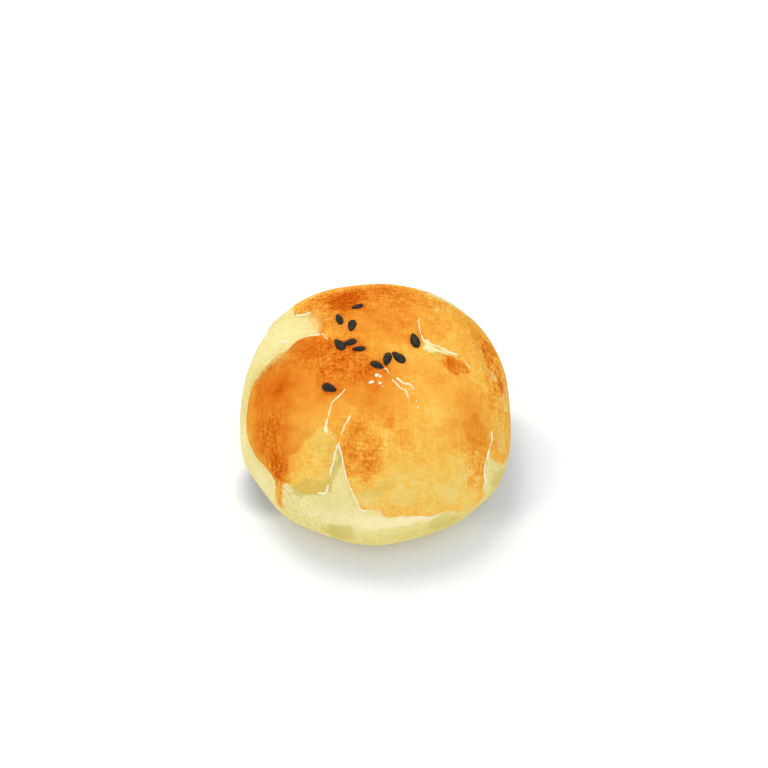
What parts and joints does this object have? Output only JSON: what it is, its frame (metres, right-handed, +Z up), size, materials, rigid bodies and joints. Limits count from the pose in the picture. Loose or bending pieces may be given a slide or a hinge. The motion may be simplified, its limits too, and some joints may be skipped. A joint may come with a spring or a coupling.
{
  "type": "egg yolk pastry",
  "caption": "Round baked bun of flaky pastry with a domed egg-washed crown, split crust, pale flat foot and black sesame seeds fused on top.",
  "frame": {"origin": "middle of the flat underside that rests on a plate or tray", "axes": "+Z up towards the crown, -Y towards the side with the forked split in the crust, +X to the right of that side"},
  "size_m": [0.0595, 0.0591, 0.0426],
  "materials": {
    "crust": "baked flaky dough under a thin egg wash, golden yellow mottled with orange brown, bare and cream coloured in the splits and round the foot",
    "sesame": "hulls of black sesame seed, slightly glossy, with faint brown ribs"
  },
  "bodies": {
    "root": {"pastry": "crust"}
  },
  "joints": []
}
